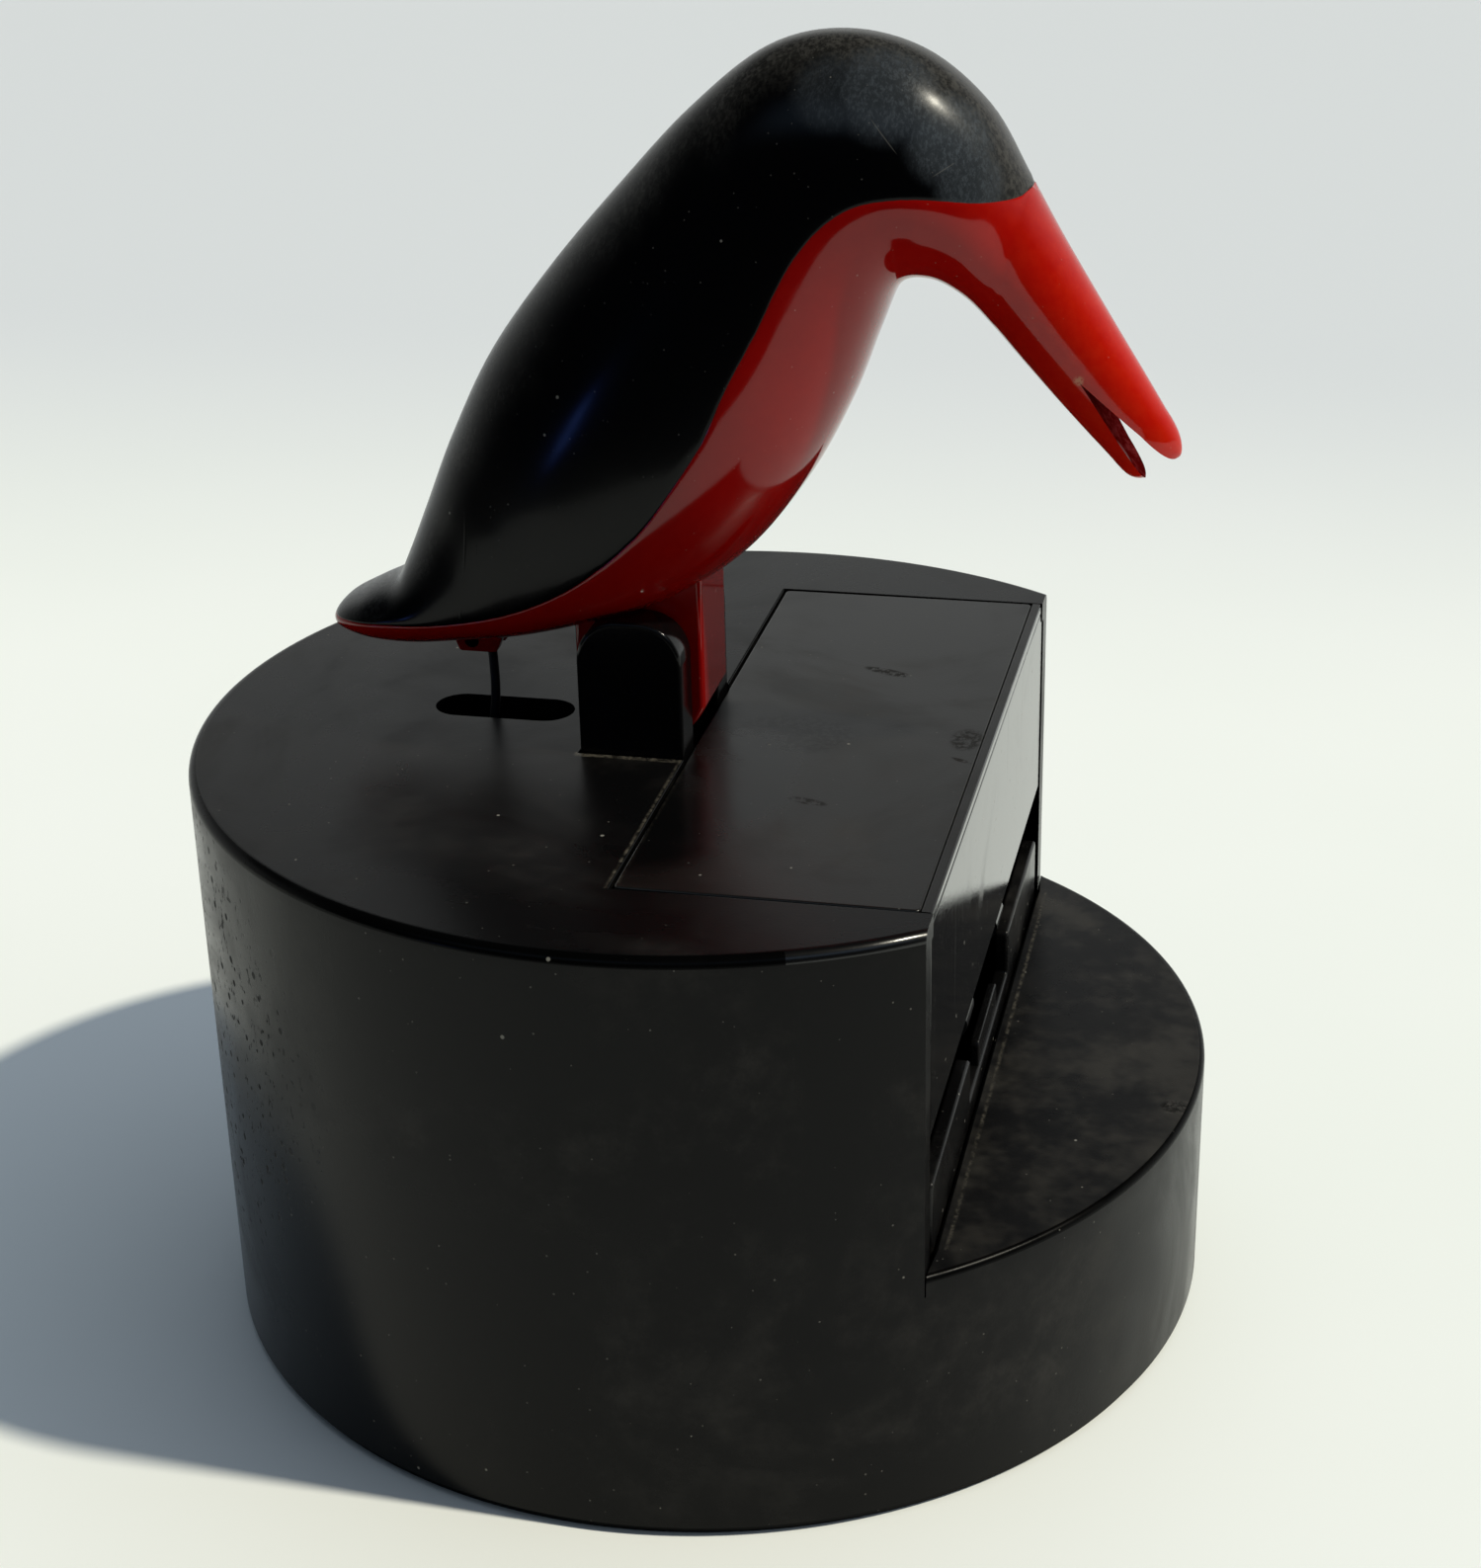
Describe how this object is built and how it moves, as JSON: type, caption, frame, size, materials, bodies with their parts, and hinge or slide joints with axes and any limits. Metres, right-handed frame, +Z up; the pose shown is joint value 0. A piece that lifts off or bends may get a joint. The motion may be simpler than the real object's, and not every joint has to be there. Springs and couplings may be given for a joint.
{
  "type": "toothpick dispenser",
  "caption": "Stepped drum that holds toothpicks, with a bird on top that bows and takes one from a slot in its beak.",
  "frame": {"origin": "centre of the drum's bottom face", "axes": "+Z up, +X the way the bird faces, towards the low deck; the part is symmetric about XZ apart from the wire's lower hook"},
  "size_m": [0.095, 0.095, 0.1195],
  "materials": {
    "satin_black": "satin moulded black plastic",
    "gloss_black": "glossy moulded black plastic",
    "gloss_red": "glossy moulded red plastic",
    "grey_inner": "plain moulded dark grey plastic",
    "steel": "plated steel",
    "dark_steel": "blackened steel wire"
  },
  "bodies": {
    "base": {"drum_shell": "satin_black", "bottom_cover": "satin_black", "fill_lid": "satin_black", "cover_screws": "steel", "front_panel": "gloss_black", "pick_sill": "satin_black", "sill_screws": "steel", "hopper": "grey_inner", "hopper_screws": "steel", "crank_bracket": "grey_inner", "crank_screws": "steel", "crank_axle": "steel", "return_spring": "steel", "spring_post": "steel", "pivot_bracket": "gloss_black", "pivot_screws": "steel", "pivot_pin": "gloss_black"},
    "bird": {"bird_back": "gloss_black", "bird_belly": "gloss_red", "link_pin": "dark_steel"},
    "wire": {"link_wire": "dark_steel"},
    "crank": {"feed_crank": "grey_inner", "drive_pin": "steel"},
    "tray": {"feed_tray": "grey_inner"}
  },
  "joints": [
    {"name": "bird_tilt", "type": "hinge", "parent": "base", "child": "bird", "pos_m": [-0.0046, 0, 0.0617], "axis": [0, 1, 0], "range_deg": [0, 61], "stiffness_Nm_per_rad": 0.006, "springref_deg": -28.65},
    {"name": "wire_swing", "type": "hinge", "parent": "bird", "child": "wire", "pos_m": [-0.0215, 0, 0.0637], "axis": [0, 1, 0], "range_deg": [-61, 0]},
    {"name": "crank_turn", "type": "hinge", "parent": "base", "child": "crank", "pos_m": [-0.0076, 0, 0.0176], "axis": [0, 1, 0], "range_deg": [0, 61], "deforming": ["return_spring"]},
    {"name": "tray_slide", "type": "slide", "parent": "base", "child": "tray", "axis": [1, 0, 0], "range_m": [0, 0.01561]}
  ],
  "couplings": [
    {"joint": "wire_swing", "follows": "bird_tilt", "ratio": -1},
    {"joint": "crank_turn", "follows": "bird_tilt", "ratio": 1},
    {"joint": "tray_slide", "follows": "bird_tilt", "m_per_rad": 0.014653}
  ]
}
